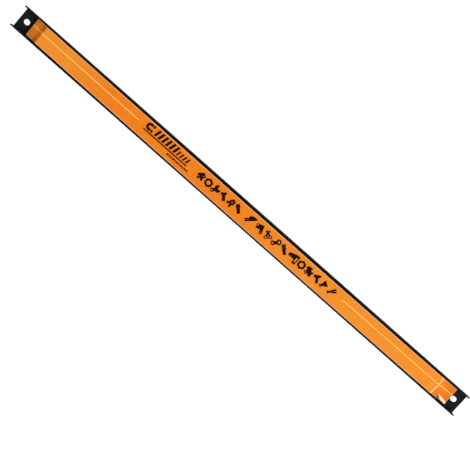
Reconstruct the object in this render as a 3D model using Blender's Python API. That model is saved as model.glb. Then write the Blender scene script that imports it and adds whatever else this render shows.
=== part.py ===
"""Magnetic tool and knife strip: a steel channel with a magnet core behind a printed card.

The strip hangs on a wall. +X runs along it to the right, +Z is up, and its front faces -Y.
The origin is the centre of the rail's flat back, which lies on the plane Y = 0.
Everything is in metres.
"""

import math

import bmesh
import bpy
from mathutils import Vector

# Rail: a U-channel folded from sheet steel, flanges forward
RAIL_LENGTH = 0.610
RAIL_HEIGHT = 0.0258
RAIL_DEPTH = 0.0125
SHEET = 0.0015
INNER_BEND_RADIUS = 0.0010
TIP_RADIUS = 0.0002
BEND_STEPS = 6
TIP_STEPS = 2

# Screw slots through the rail's web, long way along the rail
SLOT_INSET = 0.0086
SLOT_LENGTH = 0.0072
SLOT_WIDTH = 0.0057
SLOT_STEPS = 16

# Magnet core: blocks in one row, which sits a little to the left of the middle
CORE_CENTRE_X = -0.0010
MAGNET_COUNT = 18
MAGNET_LENGTH = 0.030
MAGNET_PITCH = 0.0303
MAGNET_HEIGHT = 0.014
MAGNET_THICKNESS = 0.006
MAGNET_CHAMFER = 0.0004

# Adhesive under the magnets
ADHESIVE_HEIGHT = 0.0124
ADHESIVE_THICKNESS = 0.0005
ADHESIVE_END_INSET = 0.003
ADHESIVE_CORNER_RADIUS = 0.003
ADHESIVE_CORNER_STEPS = 5

# Steel bar over the magnets
POLE_BAR_HEIGHT = 0.014
POLE_BAR_THICKNESS = 0.0022
POLE_BAR_EDGE_RADIUS = 0.0004

# Double-sided tape on the steel bar
TAPE_HEIGHT = 0.012
TAPE_THICKNESS = 0.0002
TAPE_END_INSET = 0.004

# Printed card: a flat run over the core, and past each of its ends a flap that drops steeply
# to its foot and then lies almost level; a drop is measured back from the flat run
CARD_HEIGHT = 0.0206
CARD_THICKNESS = 0.0004
CARD_LEFT_END_X = -0.2878
CARD_RIGHT_END_X = 0.2906
CARD_FOLD_CLEARANCE = 0.0001
CARD_WALL_RUN = 0.0012
LEFT_FOOT_DROP = 0.0030
LEFT_END_DROP = 0.0066
RIGHT_FOOT_DROP = 0.0034
RIGHT_END_DROP = 0.0032

# Space left between pieces that touch
STACK_GAP = 0.0002
TAPE_GAP = 0.00015

# Where each layer of the core starts, measured forward from the wall
ADHESIVE_BACK = SHEET + STACK_GAP
MAGNET_BACK = ADHESIVE_BACK + ADHESIVE_THICKNESS + STACK_GAP
POLE_BAR_BACK = MAGNET_BACK + MAGNET_THICKNESS + STACK_GAP
TAPE_BACK = POLE_BAR_BACK + POLE_BAR_THICKNESS + TAPE_GAP
CARD_BACK = TAPE_BACK + TAPE_THICKNESS + TAPE_GAP
CORE_LENGTH = (MAGNET_COUNT - 1) * MAGNET_PITCH + MAGNET_LENGTH


def clear_scene():
    for obj in list(bpy.data.objects):
        bpy.data.objects.remove(obj, do_unlink=True)


def material(name, colour, roughness, metallic):
    """A Principled material with one colour, roughness and metallic value."""
    mat = bpy.data.materials.new(name)
    mat.use_nodes = True
    shader = mat.node_tree.nodes["Principled BSDF"]
    shader.inputs["Base Color"].default_value = (*colour, 1.0)
    shader.inputs["Roughness"].default_value = roughness
    shader.inputs["Metallic"].default_value = metallic
    return mat


def arc(centre, radius, start, end, steps):
    """Points on an arc, from start to end in degrees, both ends included."""
    points = []
    for step in range(steps + 1):
        angle = math.radians(start + (end - start) * step / steps)
        points.append((centre[0] + radius * math.cos(angle), centre[1] + radius * math.sin(angle)))
    return points


def prism(name, outline, extrude):
    """A closed solid: a flat outline of 3-D points, swept along the vector extrude."""
    shape = bmesh.new()
    base = shape.faces.new([shape.verts.new(point) for point in outline])
    swept = bmesh.ops.extrude_face_region(shape, geom=[base])
    moved = [item for item in swept["geom"] if isinstance(item, bmesh.types.BMVert)]
    bmesh.ops.translate(shape, verts=moved, vec=extrude)
    bmesh.ops.recalc_face_normals(shape, faces=shape.faces)
    mesh = bpy.data.meshes.new(name)
    shape.to_mesh(mesh)
    shape.free()
    return mesh


def block(name, length, depth, height):
    """A box centred on its own origin."""
    corners = [(x, y, -height / 2) for x, y in (
        (-length / 2, -depth / 2),
        (length / 2, -depth / 2),
        (length / 2, depth / 2),
        (-length / 2, depth / 2),
    )]
    return prism(name, corners, (0, 0, height))


def place(name, mesh, location, mat):
    """Make a named object from a mesh, under the strip's own empty."""
    obj = bpy.data.objects.new(name, mesh)
    bpy.context.collection.objects.link(obj)
    obj.location = location
    obj.parent = strip
    if not mesh.materials:
        mesh.materials.append(mat)
    return obj


def round_edges(obj, width, segments):
    """Round every edge of a box-like piece."""
    bevel = obj.modifiers.new("rounded_edges", 'BEVEL')
    bevel.width = width
    bevel.segments = segments
    bevel.limit_method = 'ANGLE'


def shade_round(mesh):
    mesh.shade_smooth()
    mesh.set_sharp_from_angle(angle=math.radians(35))


def channel_outline():
    """The rail's cross-section as (forward, up) points, with both bends and rounded tips."""
    outer_radius = INNER_BEND_RADIUS + SHEET
    top = RAIL_HEIGHT / 2
    bend_forward = outer_radius
    bend_up = top - outer_radius
    tip_forward = RAIL_DEPTH - TIP_RADIUS
    tip_outer_up = top - TIP_RADIUS
    tip_inner_up = top - SHEET + TIP_RADIUS
    upper = []
    upper += arc((bend_forward, bend_up), outer_radius, 180, 90, BEND_STEPS)
    upper += arc((tip_forward, tip_outer_up), TIP_RADIUS, 90, 0, TIP_STEPS)
    upper += arc((tip_forward, tip_inner_up), TIP_RADIUS, 0, -90, TIP_STEPS)
    upper += arc((bend_forward, bend_up), INNER_BEND_RADIUS, 90, 180, BEND_STEPS)
    lower = [(forward, -up) for forward, up in reversed(upper)]
    return upper + lower


def slot_outline(length, width):
    """A slot with round ends, as (x, z) points about its own centre."""
    radius = width / 2
    reach = length / 2 - radius
    right_end = arc((reach, 0), radius, -90, 90, SLOT_STEPS)
    left_end = arc((-reach, 0), radius, 90, 270, SLOT_STEPS)
    return right_end + left_end


def make_rail():
    """The channel, with a cutter on each screw slot."""
    start = -RAIL_LENGTH / 2
    outline = [(start, -forward, up) for forward, up in channel_outline()]
    mesh = prism("rail", outline, (RAIL_LENGTH, 0, 0))
    shade_round(mesh)
    black = material("black_powder_coat", (0.013, 0.015, 0.017), 0.45, 0.0)
    rail = place("rail", mesh, (0, 0, 0), black)
    slot_x = RAIL_LENGTH / 2 - SLOT_INSET
    for side, centre_x in (("left", -slot_x), ("right", slot_x)):
        outline = [(x, SHEET, z) for x, z in slot_outline(SLOT_LENGTH, SLOT_WIDTH)]
        cutter_mesh = prism("slot_cutter_" + side, outline, (0, -3 * SHEET, 0))
        cutter = place("slot_cutter_" + side, cutter_mesh, (centre_x, 0, 0), black)
        cutter.hide_render = True
        cutter.display_type = 'WIRE'
        cut = rail.modifiers.new("slot_" + side, 'BOOLEAN')
        cut.object = cutter
        cut.operation = 'DIFFERENCE'
        cut.solver = 'EXACT'


def make_adhesive():
    """A thin bed of epoxy on the channel's floor, with rounded corners."""
    half_length = CORE_LENGTH / 2 - ADHESIVE_END_INSET - ADHESIVE_CORNER_RADIUS
    half_height = ADHESIVE_HEIGHT / 2 - ADHESIVE_CORNER_RADIUS
    outline = []
    for x_side, z_side, start in ((1, -1, -90), (1, 1, 0), (-1, 1, 90), (-1, -1, 180)):
        centre = (x_side * half_length, z_side * half_height)
        outline += arc(centre, ADHESIVE_CORNER_RADIUS, start, start + 90, ADHESIVE_CORNER_STEPS)
    points = [(x, 0, z) for x, z in outline]
    mesh = prism("adhesive_bed", points, (0, -ADHESIVE_THICKNESS, 0))
    epoxy = material("amber_epoxy", (0.42, 0.27, 0.10), 0.35, 0.0)
    place("adhesive_bed", mesh, (CORE_CENTRE_X, -ADHESIVE_BACK, 0), epoxy)


def make_magnets():
    """One row of equal ferrite blocks, end to end with a small gap."""
    ferrite = material("ferrite", (0.045, 0.045, 0.048), 0.6, 0.1)
    mesh = block("magnet", MAGNET_LENGTH, MAGNET_THICKNESS, MAGNET_HEIGHT)
    middle_y = -(MAGNET_BACK + MAGNET_THICKNESS / 2)
    for index in range(MAGNET_COUNT):
        centre_x = CORE_CENTRE_X + (index - (MAGNET_COUNT - 1) / 2) * MAGNET_PITCH
        magnet = place(f"magnet_{index + 1:02d}", mesh, (centre_x, middle_y, 0), ferrite)
        round_edges(magnet, MAGNET_CHAMFER, 1)


def make_pole_bar():
    """The flat steel bar that covers the magnets."""
    mesh = block("pole_bar", CORE_LENGTH, POLE_BAR_THICKNESS, POLE_BAR_HEIGHT)
    steel = material("mild_steel", (0.42, 0.43, 0.44), 0.35, 1.0)
    middle_y = -(POLE_BAR_BACK + POLE_BAR_THICKNESS / 2)
    bar = place("pole_bar", mesh, (CORE_CENTRE_X, middle_y, 0), steel)
    round_edges(bar, POLE_BAR_EDGE_RADIUS, 2)


def make_tape():
    """Double-sided tape between the bar and the card."""
    mesh = block("label_tape", CORE_LENGTH - 2 * TAPE_END_INSET, TAPE_THICKNESS, TAPE_HEIGHT)
    tape = material("white_tape", (0.78, 0.76, 0.70), 0.6, 0.0)
    middle_y = -(TAPE_BACK + TAPE_THICKNESS / 2)
    place("label_tape", mesh, (CORE_CENTRE_X, middle_y, 0), tape)


def beside(line, distance):
    """A copy of a line of (x, forward) points, moved forward by distance square to the line."""
    points = [Vector(point) for point in line]
    headings = [(end - start).normalized() for start, end in zip(points, points[1:])]
    squares = [Vector((-heading.y, heading.x)) for heading in headings]
    moved = []
    for point, before, after in zip(points, squares[:1] + squares, squares + squares[-1:]):
        middle = (before + after).normalized()
        moved.append(tuple(point + middle * distance / middle.dot(before)))
    return moved


def make_card():
    """The printed card: straight over the core, with a flap folded back at each end."""
    fold_left_x = CORE_CENTRE_X - CORE_LENGTH / 2 - CARD_FOLD_CLEARANCE
    fold_right_x = CORE_CENTRE_X + CORE_LENGTH / 2 + CARD_FOLD_CLEARANCE
    back = [
        (CARD_LEFT_END_X, CARD_BACK - LEFT_END_DROP),
        (fold_left_x - CARD_WALL_RUN, CARD_BACK - LEFT_FOOT_DROP),
        (fold_left_x, CARD_BACK),
        (fold_right_x, CARD_BACK),
        (fold_right_x + CARD_WALL_RUN, CARD_BACK - RIGHT_FOOT_DROP),
        (CARD_RIGHT_END_X, CARD_BACK - RIGHT_END_DROP),
    ]
    front = beside(back, CARD_THICKNESS)
    outline = [(x, -forward, -CARD_HEIGHT / 2) for x, forward in back + front[::-1]]
    mesh = prism("label_card", outline, (0, 0, CARD_HEIGHT))
    orange = material("orange_card", (0.89, 0.30, 0.045), 0.5, 0.0)
    place("label_card", mesh, (0, 0, 0), orange)


clear_scene()
strip = bpy.data.objects.new("strip", None)
bpy.context.collection.objects.link(strip)
make_rail()
make_adhesive()
make_magnets()
make_pole_bar()
make_tape()
make_card()
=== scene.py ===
import bisect
import math

import bmesh
import bpy
from mathutils import Matrix, Vector, noise
from mathutils.geometry import delaunay_2d_cdt


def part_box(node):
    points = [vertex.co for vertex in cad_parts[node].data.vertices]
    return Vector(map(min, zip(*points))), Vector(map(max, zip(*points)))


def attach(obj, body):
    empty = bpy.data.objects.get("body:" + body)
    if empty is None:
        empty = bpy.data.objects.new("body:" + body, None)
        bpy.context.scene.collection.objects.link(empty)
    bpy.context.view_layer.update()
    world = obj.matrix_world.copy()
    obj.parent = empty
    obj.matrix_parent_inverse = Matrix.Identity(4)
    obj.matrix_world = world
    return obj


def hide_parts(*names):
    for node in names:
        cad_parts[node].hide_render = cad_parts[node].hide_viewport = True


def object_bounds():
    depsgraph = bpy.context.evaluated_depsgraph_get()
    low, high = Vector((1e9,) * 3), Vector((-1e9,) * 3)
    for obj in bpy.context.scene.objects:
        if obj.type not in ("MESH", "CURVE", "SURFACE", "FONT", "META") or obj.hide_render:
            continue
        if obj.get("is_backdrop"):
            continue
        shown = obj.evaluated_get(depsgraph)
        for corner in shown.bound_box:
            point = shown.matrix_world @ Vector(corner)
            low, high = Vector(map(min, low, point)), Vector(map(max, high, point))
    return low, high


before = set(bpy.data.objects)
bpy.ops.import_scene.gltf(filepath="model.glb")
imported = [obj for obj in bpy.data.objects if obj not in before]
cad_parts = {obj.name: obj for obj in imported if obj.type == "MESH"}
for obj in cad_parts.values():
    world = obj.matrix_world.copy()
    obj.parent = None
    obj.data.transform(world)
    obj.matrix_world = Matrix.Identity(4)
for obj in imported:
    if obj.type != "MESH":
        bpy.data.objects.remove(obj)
cad_low, cad_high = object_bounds()

# ---------------------------------------------------------------------------------------------
# Rail. A channel folded from 1.5 mm steel sheet, sheared to length and deburred, with a short
# screw slot punched near each end. It is powder coated black inside and out, and every other
# piece is laid into it.
# ---------------------------------------------------------------------------------------------
SHEET = 0.0015
INNER_BEND = 0.0010
TIP_RADIUS = 0.0002
BEND_STEPS = 14
TIP_STEPS = 5
SLOT_FROM_END = 0.0086
SLOT_LENGTH = 0.0072
SLOT_WIDTH = 0.0057
DEBURR = 0.00015
DEBURR_STEPS = 3
SLOT_STEPS = 14
NEARLY_HALF = 0.4999
PUNCH_REACH = 2 * SHEET
WELD = 0.000001
SHARP_TURN = math.radians(50)
COAT_BLACK = (0.0060, 0.0068, 0.0078)
COAT_DUSTY = (0.013, 0.014, 0.015)
RUBBED_STEEL = (0.024, 0.025, 0.026)
COAT_RELIEF = 0.00004
TIP_RUB_STARTS = 0.0005
TIP_RUB_FULL = 0.00005
END_RUB_STARTS = 0.0006
END_RUB_FULL = 0.0001


def arc(centre, radius, start, end, steps):
    """Points on an arc from start to end, in degrees, with both ends."""
    turns = [math.radians(start + (end - start) * step / steps) for step in range(steps + 1)]
    return [(centre[0] + radius * math.cos(t), centre[1] + radius * math.sin(t)) for t in turns]


def node(tree, kind, inputs=(), **settings):
    """Add a node, with its settings, and each input either linked to a socket or set to a value."""
    made = tree.nodes.new(kind)
    for name, value in settings.items():
        setattr(made, name, value)
    for key, value in dict(inputs).items():
        if isinstance(value, bpy.types.NodeSocket):
            tree.links.new(value, made.inputs[key])
        else:
            made.inputs[key].default_value = value
    return made


def maths(tree, operation, first, second=0.0, third=0.0):
    """One Math node's result."""
    inputs = {0: first, 1: second, 2: third}
    return node(tree, "ShaderNodeMath", inputs, operation=operation).outputs[0]


def smooth_step(tree, value, low, high):
    """0 below low and 1 above high, with a soft change between them."""
    inputs = {"Value": value, "From Min": low, "From Max": high}
    ramp = node(tree, "ShaderNodeMapRange", inputs, interpolation_type='SMOOTHSTEP')
    return ramp.outputs["Result"]


def mix_colour(tree, share, first, second):
    """A colour between two others, each a socket or three numbers."""
    made = node(tree, "ShaderNodeMix", {0: share}, data_type='RGBA')
    for index, colour in ((6, first), (7, second)):
        if isinstance(colour, bpy.types.NodeSocket):
            tree.links.new(colour, made.inputs[index])
        else:
            made.inputs[index].default_value = (*colour, 1.0)
    return made.outputs[2]


def grain(tree, coordinates, scale, detail=3.0, roughness=0.55, stretch=(1, 1, 1)):
    """Fine noise over the piece, pulled out along an axis where stretch is under 1."""
    if stretch != (1, 1, 1):
        inputs = {"Vector": coordinates, "Scale": stretch}
        coordinates = node(tree, "ShaderNodeMapping", inputs).outputs["Vector"]
    inputs = {"Vector": coordinates, "Scale": scale, "Detail": detail, "Roughness": roughness}
    return node(tree, "ShaderNodeTexNoise", inputs).outputs["Fac"]


def finish(name, roughness=0.5, metallic=0.0, specular=0.5):
    """A new material: itself, its tree, its shader and its object coordinates in metres."""
    made = bpy.data.materials.new(name)
    made.use_nodes = True
    tree = made.node_tree
    shader = tree.nodes["Principled BSDF"]
    shader.inputs["Roughness"].default_value = roughness
    shader.inputs["Metallic"].default_value = metallic
    shader.inputs["Specular IOR Level"].default_value = specular
    coordinates = node(tree, "ShaderNodeTexCoord").outputs["Object"]
    return made, tree, shader, coordinates


def emboss(tree, shader, height, distance, strength=1.0):
    """Give the shader a surface relief from a height, distance metres deep."""
    inputs = {"Height": height, "Distance": distance, "Strength": strength}
    relief = node(tree, "ShaderNodeBump", inputs)
    tree.links.new(relief.outputs["Normal"], shader.inputs["Normal"])


def geometry_tree(name, sockets):
    """A Geometry Nodes tree with named inputs: the tree, its input node and its output node."""
    tree = bpy.data.node_groups.new(name, "GeometryNodeTree")
    tree.interface.new_socket("Geometry", in_out='INPUT', socket_type="NodeSocketGeometry")
    for label, kind in sockets:
        tree.interface.new_socket(label, in_out='INPUT', socket_type="NodeSocket" + kind)
    tree.interface.new_socket("Geometry", in_out='OUTPUT', socket_type="NodeSocketGeometry")
    return tree, tree.nodes.new("NodeGroupInput"), tree.nodes.new("NodeGroupOutput")


def run_tree(name, tree, values, base=None, edges=None):
    """The plain mesh that a tree makes from its named values, with its edges eased if asked."""
    host = bpy.data.objects.new(name, base or bpy.data.meshes.new(name))
    bpy.context.collection.objects.link(host)
    made = host.modifiers.new("made", 'NODES')
    made.node_group = tree
    for item in tree.interface.items_tree:
        if item.item_type == 'SOCKET' and item.in_out == 'INPUT' and item.name in values:
            made[item.identifier] = values[item.name]
    if edges:
        eased = host.modifiers.new("eased", 'BEVEL')
        eased.width, eased.segments, eased.angle_limit = edges
        eased.limit_method = 'ANGLE'
        weighted = host.modifiers.new("weighted", 'WEIGHTED_NORMAL')
        weighted.keep_sharp = True
    bpy.context.view_layer.update()
    mesh = bpy.data.meshes.new_from_object(host.evaluated_get(bpy.context.evaluated_depsgraph_get()))
    bpy.data.objects.remove(host)
    return mesh


def fit(name, mesh, slot, *nodes, coat=None):
    """Put a finished mesh in place on the strip, standing for the named CAD nodes."""
    mesh.name = name
    piece = bpy.data.objects.new(name, mesh)
    bpy.context.collection.objects.link(piece)
    if coat:
        mesh.materials.clear()
        mesh.materials.append(coat)
    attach(piece, "root")
    if nodes:
        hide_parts(*nodes)
    return piece


def face_mesh(name, points):
    """One flat face through the points."""
    shape = bmesh.new()
    shape.faces.new([shape.verts.new(point) for point in points])
    mesh = bpy.data.meshes.new(name)
    shape.to_mesh(mesh)
    shape.free()
    return mesh


def channel_section(height, depth):
    """The channel's cross-section as (forward, up) points, clockwise from its upper back corner."""
    outer_bend = INNER_BEND + SHEET
    top = height / 2
    bend = (outer_bend, top - outer_bend)
    tip = depth - TIP_RADIUS
    upper = arc(bend, outer_bend, 180, 90, BEND_STEPS)
    upper += arc((tip, top - TIP_RADIUS), TIP_RADIUS, 90, 0, TIP_STEPS)
    upper += arc((tip, top - SHEET + TIP_RADIUS), TIP_RADIUS, 0, -90, TIP_STEPS)
    upper += arc(bend, INNER_BEND, 90, 180, BEND_STEPS)
    return upper + [(forward, -up) for forward, up in reversed(upper)]


coat, tree, shader, place = finish("black_powder_coat", specular=0.08)
mottle = grain(tree, place, 900, detail=4)
patches = grain(tree, place, 45, detail=2)
colour = mix_colour(tree, smooth_step(tree, patches, 0.35, 0.75), COAT_BLACK, COAT_DUSTY)
axes = node(tree, "ShaderNodeSeparateXYZ", {"Vector": place})
at_tip = smooth_step(tree, axes.outputs["Y"], cad_low.y + TIP_RUB_STARTS, cad_low.y + TIP_RUB_FULL)
from_middle = maths(tree, 'ABSOLUTE', axes.outputs["X"])
at_end = smooth_step(tree, from_middle, cad_high.x - END_RUB_STARTS, cad_high.x - END_RUB_FULL)
exposed = maths(tree, 'MAXIMUM', at_tip, at_end)
rubs = smooth_step(tree, grain(tree, place, 260, detail=5, stretch=(0.25, 1, 1)), 0.58, 0.80)
rubbed = maths(tree, 'MULTIPLY', exposed, rubs)
colour = mix_colour(tree, rubbed, colour, RUBBED_STEEL)
tree.links.new(colour, shader.inputs["Base Color"])
gloss = maths(tree, 'MULTIPLY_ADD', mottle, 0.22, 0.50)
tree.links.new(gloss, shader.inputs["Roughness"])
orange_peel = maths(tree, 'MULTIPLY_ADD', grain(tree, place, 320, detail=1), 1.6, mottle)
emboss(tree, shader, orange_peel, COAT_RELIEF)

tree, given, made = geometry_tree("channel", (
    ("Length", "Float"), ("Slot From End", "Float"), ("Slot Length", "Float"),
    ("Slot Width", "Float"), ("Coat", "Material"),
))
half = maths(tree, 'MULTIPLY', given.outputs["Length"], 0.5)
back_half = maths(tree, 'MULTIPLY', half, -1.0)
to_start = node(tree, "ShaderNodeCombineXYZ", {"X": back_half}).outputs[0]
run = node(tree, "ShaderNodeCombineXYZ", {"X": given.outputs["Length"]}).outputs[0]
section = node(tree, "GeometryNodeTransform",
               {"Geometry": given.outputs["Geometry"], "Translation": to_start}).outputs[0]
swept = node(tree, "GeometryNodeExtrudeMesh",
             {"Mesh": section, "Offset": run, "Offset Scale": 1.0, "Individual": False}).outputs[0]
other_end = node(tree, "GeometryNodeFlipFaces", {"Mesh": section}).outputs[0]
channel = node(tree, "GeometryNodeJoinGeometry")
tree.links.new(swept, channel.inputs[0])
tree.links.new(other_end, channel.inputs[0])
channel = node(tree, "GeometryNodeMergeByDistance",
               {"Geometry": channel.outputs[0], "Distance": WELD}).outputs[0]
slot = node(tree, "GeometryNodeCurvePrimitiveQuadrilateral",
            {"Width": given.outputs["Slot Length"], "Height": given.outputs["Slot Width"]}).outputs[0]
slot = node(tree, "GeometryNodeFilletCurve", {
    "Curve": slot, "Count": SLOT_STEPS, "Limit Radius": True,
    "Radius": maths(tree, 'MULTIPLY', given.outputs["Slot Width"], NEARLY_HALF),
}, mode='POLY').outputs[0]
slot = node(tree, "GeometryNodeFillCurve", {"Curve": slot}, mode='NGONS').outputs[0]
punch = node(tree, "GeometryNodeExtrudeMesh",
             {"Mesh": slot, "Offset Scale": 2 * PUNCH_REACH, "Individual": False}).outputs[0]
punch_end = node(tree, "GeometryNodeFlipFaces", {"Mesh": slot}).outputs[0]
punch_all = node(tree, "GeometryNodeJoinGeometry")
tree.links.new(punch, punch_all.inputs[0])
tree.links.new(punch_end, punch_all.inputs[0])
punch = node(tree, "GeometryNodeMergeByDistance",
             {"Geometry": punch_all.outputs[0], "Distance": WELD}).outputs[0]
punch = node(tree, "GeometryNodeTransform", {
    "Geometry": punch, "Rotation": (math.pi / 2, 0, 0), "Translation": (0, PUNCH_REACH, 0),
}).outputs[0]
slot_reach = maths(tree, 'SUBTRACT', half, given.outputs["Slot From End"])
slot_back = maths(tree, 'MULTIPLY', slot_reach, -1.0)
first_slot = node(tree, "ShaderNodeCombineXYZ", {"X": slot_back}).outputs[0]
slot_gap = maths(tree, 'MULTIPLY', slot_reach, 2.0)
slot_step = node(tree, "ShaderNodeCombineXYZ", {"X": slot_gap}).outputs[0]
slot_places = node(tree, "GeometryNodeMeshLine",
                   {"Count": 2, "Start Location": first_slot, "Offset": slot_step},
                   mode='OFFSET').outputs[0]
punches = node(tree, "GeometryNodeInstanceOnPoints",
               {"Points": slot_places, "Instance": punch}).outputs[0]
punches = node(tree, "GeometryNodeRealizeInstances", {"Geometry": punches}).outputs[0]
slotted = node(tree, "GeometryNodeMeshBoolean", {"Mesh 1": channel, "Mesh 2": punches},
               operation='DIFFERENCE', solver='EXACT').outputs["Mesh"]
slotted = node(tree, "GeometryNodeRealizeInstances", {"Geometry": slotted}).outputs[0]
coated = node(tree, "GeometryNodeSetMaterial",
              {"Geometry": slotted, "Material": given.outputs["Coat"]}).outputs[0]
tree.links.new(coated, made.inputs[0])

rail_size = cad_high - cad_low
section_points = [(0, -forward, up) for forward, up in channel_section(rail_size.z, rail_size.y)]
rail_mesh = run_tree("rail_blank", tree, {
    "Length": rail_size.x, "Slot From End": SLOT_FROM_END, "Slot Length": SLOT_LENGTH,
    "Slot Width": SLOT_WIDTH, "Coat": coat,
}, base=face_mesh("channel_section", section_points[::-1]), edges=(DEBURR, DEBURR_STEPS, SHARP_TURN))
fit("black_channel", rail_mesh, "black_powder_coat", "rail")

# ---------------------------------------------------------------------------------------------
# Adhesive bed. Amber epoxy spread on the channel's floor and pressed out by the magnets into a
# thin, uneven strip with rounded edges.
# ---------------------------------------------------------------------------------------------
EPOXY_AMBER = (0.40, 0.235, 0.075)
EPOXY_PALE = (0.55, 0.38, 0.17)
EPOXY_SEED = 4.0
EPOXY_RELIEF = 0.00008
BED_STEPS = 300
BED_ROUND = 28
BED_WANDER = 120.0
BED_UNEVENNESS = 0.28

epoxy, tree, shader, place = finish("amber_epoxy", roughness=0.25)
cloud = grain(tree, place, 160, detail=4)
colour = mix_colour(tree, smooth_step(tree, cloud, 0.35, 0.7), EPOXY_AMBER, EPOXY_PALE)
bubbles = node(tree, "ShaderNodeTexVoronoi", {"Vector": place, "Scale": 900.0}).outputs["Distance"]
tree.links.new(colour, shader.inputs["Base Color"])
tree.links.new(maths(tree, 'MULTIPLY_ADD', cloud, 0.3, 0.15), shader.inputs["Roughness"])
emboss(tree, shader, smooth_step(tree, bubbles, 0.05, 0.3), EPOXY_RELIEF)

tree, given, made = geometry_tree("pressed_bed", (
    ("Length", "Float"), ("Height", "Float"), ("Thickness", "Float"),
    ("Unevenness", "Float"), ("Seed", "Float"), ("Resin", "Material"),
))
along = node(tree, "ShaderNodeCombineXYZ", {"X": given.outputs["Length"]}).outputs[0]
line = node(tree, "GeometryNodeCurvePrimitiveLine", {"Start": (0, 0, 0), "End": along}).outputs[0]
line = node(tree, "GeometryNodeResampleCurve", {"Curve": line, "Count": BED_STEPS}).outputs[0]
ring = node(tree, "GeometryNodeCurvePrimitiveCircle", {"Resolution": BED_ROUND, "Radius": 0.5}).outputs[0]
bed = node(tree, "GeometryNodeCurveToMesh",
           {"Curve": line, "Profile Curve": ring, "Fill Caps": True}).outputs[0]
spread = node(tree, "ShaderNodeCombineXYZ", {
    "X": 1.0, "Y": given.outputs["Thickness"], "Z": given.outputs["Height"],
}).outputs[0]
bed = node(tree, "GeometryNodeTransform", {"Geometry": bed, "Scale": spread}).outputs[0]
where = node(tree, "GeometryNodeInputPosition").outputs[0]
wander = node(tree, "ShaderNodeTexNoise", {
    "Vector": where, "W": given.outputs["Seed"], "Scale": BED_WANDER, "Detail": 2.0,
}, noise_dimensions='4D').outputs["Fac"]
wander = maths(tree, 'SUBTRACT', wander, 0.5)
axes = node(tree, "ShaderNodeSeparateXYZ", {"Vector": where})
pushed = maths(tree, 'MULTIPLY', maths(tree, 'MULTIPLY', wander, given.outputs["Unevenness"]),
               axes.outputs["Z"])
shift = node(tree, "ShaderNodeCombineXYZ", {"Z": pushed}).outputs[0]
bed = node(tree, "GeometryNodeSetPosition", {"Geometry": bed, "Offset": shift}).outputs[0]
bed = node(tree, "GeometryNodeRealizeInstances", {"Geometry": bed}).outputs[0]
bed = node(tree, "GeometryNodeSetMaterial",
           {"Geometry": bed, "Material": given.outputs["Resin"]}).outputs[0]
tree.links.new(bed, made.inputs[0])

bed_low, bed_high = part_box("adhesive_bed")
bed_size = bed_high - bed_low
bed_mesh = run_tree("pressed_bed", tree, {
    "Length": bed_size.x, "Height": bed_size.z, "Thickness": bed_size.y,
    "Unevenness": BED_UNEVENNESS, "Seed": EPOXY_SEED, "Resin": epoxy,
})
bed_mesh.transform(Matrix.Translation((bed_low.x, (bed_low.y + bed_high.y) / 2, 0)))
bed_mesh.shade_smooth()
fit("epoxy_bed", bed_mesh, "amber_epoxy", "adhesive_bed")

# ---------------------------------------------------------------------------------------------
# Magnets. Sintered ferrite blocks with ground faces and chamfered edges, glued end to end in
# one row, so each sits a hair out of line with the next.
# ---------------------------------------------------------------------------------------------
FERRITE_DARK = (0.030, 0.030, 0.033)
FERRITE_PALE = (0.075, 0.075, 0.080)
MAGNET_CHAMFER = 0.0005
MAGNET_SLIP = 0.00006
MAGNET_SEED = 11
FERRITE_RELIEF = 0.00005

ferrite, tree, shader, place = finish("ferrite", specular=0.4)
speckle = grain(tree, place, 2600, detail=4)
ground = grain(tree, place, 700, detail=3, stretch=(0.06, 1, 1))
block_tone = node(tree, "ShaderNodeAttribute", attribute_name="block_tone").outputs["Fac"]
tone = maths(tree, 'MULTIPLY_ADD', speckle, 0.6, maths(tree, 'MULTIPLY', block_tone, 0.4))
tree.links.new(mix_colour(tree, smooth_step(tree, tone, 0.25, 0.8), FERRITE_DARK, FERRITE_PALE),
               shader.inputs["Base Color"])
tree.links.new(maths(tree, 'MULTIPLY_ADD', ground, 0.3, 0.45), shader.inputs["Roughness"])
emboss(tree, shader, maths(tree, 'ADD', speckle, ground), FERRITE_RELIEF)

tree, given, made = geometry_tree("magnet_row", (
    ("Count", "Int"), ("Pitch", "Float"), ("Size", "Vector"), ("Chamfer", "Float"),
    ("Slip", "Float"), ("Seed", "Int"), ("Ferrite", "Material"),
))
size = node(tree, "ShaderNodeSeparateXYZ", {"Vector": given.outputs["Size"]})
cut = maths(tree, 'MULTIPLY', given.outputs["Chamfer"], 2.0)
core = node(tree, "GeometryNodeJoinGeometry")
for full in "XYZ":
    trimmed = {
        axis: size.outputs[axis] if axis == full else maths(tree, 'SUBTRACT', size.outputs[axis], cut)
        for axis in "XYZ"
    }
    slab_size = node(tree, "ShaderNodeCombineXYZ", trimmed).outputs[0]
    slab = node(tree, "GeometryNodeMeshCube", {"Size": slab_size}).outputs["Mesh"]
    tree.links.new(slab, core.inputs[0])
block = node(tree, "GeometryNodeConvexHull", {"Geometry": core.outputs[0]}).outputs[0]
steps = maths(tree, 'SUBTRACT', given.outputs["Count"], 1.0)
row_start = maths(tree, 'MULTIPLY', maths(tree, 'MULTIPLY', steps, given.outputs["Pitch"]), -0.5)
row = node(tree, "GeometryNodeMeshLine", {
    "Count": given.outputs["Count"],
    "Start Location": node(tree, "ShaderNodeCombineXYZ", {"X": row_start}).outputs[0],
    "Offset": node(tree, "ShaderNodeCombineXYZ", {"X": given.outputs["Pitch"]}).outputs[0],
}, mode='OFFSET').outputs[0]
slip_low = maths(tree, 'MULTIPLY', given.outputs["Slip"], -1.0)
slip = node(tree, "FunctionNodeRandomValue",
            {"Seed": given.outputs["Seed"]}, data_type='FLOAT_VECTOR')
tree.links.new(node(tree, "ShaderNodeCombineXYZ",
                    {"X": slip_low, "Z": slip_low}).outputs[0], slip.inputs[0])
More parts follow.
